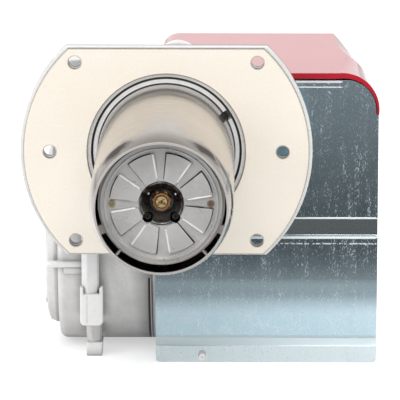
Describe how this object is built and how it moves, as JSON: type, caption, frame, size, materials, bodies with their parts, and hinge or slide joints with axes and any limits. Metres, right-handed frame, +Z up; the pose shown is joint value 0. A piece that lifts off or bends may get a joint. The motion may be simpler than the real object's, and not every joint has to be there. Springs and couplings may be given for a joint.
{
  "type": "pressure-jet oil burner",
  "caption": "Pressure-jet oil burner with blast tube, vaned head, scroll fan, galvanised front sheet and lift-off red cover.",
  "frame": {"origin": "centre of the gasket's front face, on the axis of the blast tube", "axes": "-Y out of the blast tube into the boiler, +Z up, +X toward the motor and pump side"},
  "size_m": [0.3699, 0.5582, 0.348],
  "materials": {
    "fibre_gasket": "pressed mineral fibre board",
    "cast_aluminium": "as cast, machined on its faces",
    "zinc_steel": "zinc plated",
    "stainless": "polished tube and pressed sheet",
    "steel": "ground steel",
    "brass": "turned",
    "copper": "drawn copper pipe",
    "black_steel": "blackened",
    "painted_black": "satin paint",
    "cast_iron": "cast and machined",
    "porcelain": "glazed",
    "black_rubber": "silicone and rubber",
    "black_plastic": "moulded",
    "grey_plastic": "moulded",
    "red_plastic": "lens",
    "galvanised": "spangled zinc",
    "red_paint": "gloss paint"
  },
  "bodies": {
    "base": {"base_tray": "galvanised", "blast_tube": "stainless", "cable_gland": "grey_plastic", "component_shelf": "galvanised", "control_base": "black_plastic", "control_box": "grey_plastic", "cover_screws": "zinc_steel", "damper_pivot": "zinc_steel", "diffuser_disc": "stainless", "disc_bracket": "stainless", "disc_screws": "brass", "electrode_clamp": "zinc_steel", "electrode_left": "stainless", "electrode_right": "stainless", "fan_housing": "cast_aluminium", "flange_clamp_screw": "zinc_steel", "flange_gasket": "fibre_gasket", "front_shield": "galvanised", "gun_bush": "zinc_steel", "gun_pipe": "zinc_steel", "head_ring": "stainless", "hub_cup": "black_steel", "ignition_leads": "black_rubber", "ignition_transformer": "black_plastic", "inlet_cover": "cast_aluminium", "inlet_cover_screws": "zinc_steel", "insulator_left": "porcelain", "insulator_right": "porcelain", "motor_bearings": "steel", "motor_end_bell": "cast_aluminium", "motor_plate": "cast_aluminium", "motor_shell": "painted_black", "mounting_flange": "cast_aluminium", "nozzle": "brass", "nozzle_holder": "brass", "oil_pipe": "copper", "oil_unions": "zinc_steel", "pump_body": "cast_iron", "pump_bracket": "cast_aluminium", "pump_cover": "cast_iron", "pump_cover_screws": "zinc_steel", "run_capacitor": "grey_plastic", "sensor_bush": "black_rubber", "sheet_screws": "zinc_steel", "stator": "steel", "tube_clamp_ring": "cast_aluminium", "valve_coil": "black_plastic", "valve_stem": "brass"},
    "rotor": {"motor_shaft": "steel", "rotor_core": "steel", "fan_wheel": "zinc_steel", "pump_coupling": "black_plastic", "pump_shaft": "steel"},
    "shutter": {"air_damper": "zinc_steel", "damper_knob": "zinc_steel"},
    "button": {"reset_button": "red_plastic"},
    "lifting_cover": {"cover": "red_paint"},
    "sensor": {"flame_sensor": "black_plastic"},
    "regulator": {"pressure_screw": "brass"}
  },
  "joints": [
    {"name": "rotor_spin", "type": "hinge", "parent": "base", "child": "rotor", "pos_m": [0, 0.165, -0.122], "axis": [1, 0, 0], "continuous": true},
    {"name": "air_shutter", "type": "hinge", "parent": "base", "child": "shutter", "pos_m": [-0.1255, 0.165, -0.122], "axis": [1, 0, 0], "range_deg": [0, 45]},
    {"name": "reset_push", "type": "slide", "parent": "base", "child": "button", "axis": [0, -1, 0], "range_m": [0, 0.0025], "stiffness_N_per_m": 400},
    {"name": "cover_lift", "type": "slide", "parent": "base", "child": "lifting_cover", "axis": [0, 0, 1], "range_m": [0, 0.25]},
    {"name": "sensor_pull", "type": "slide", "parent": "base", "child": "sensor", "axis": [0, 1, 0], "range_m": [0, 0.03]},
    {"name": "pressure_turn", "type": "hinge", "parent": "base", "child": "regulator", "pos_m": [0.178, 0.165, -0.13], "axis": [1, 0, 0], "range_deg": [-180, 180]}
  ]
}
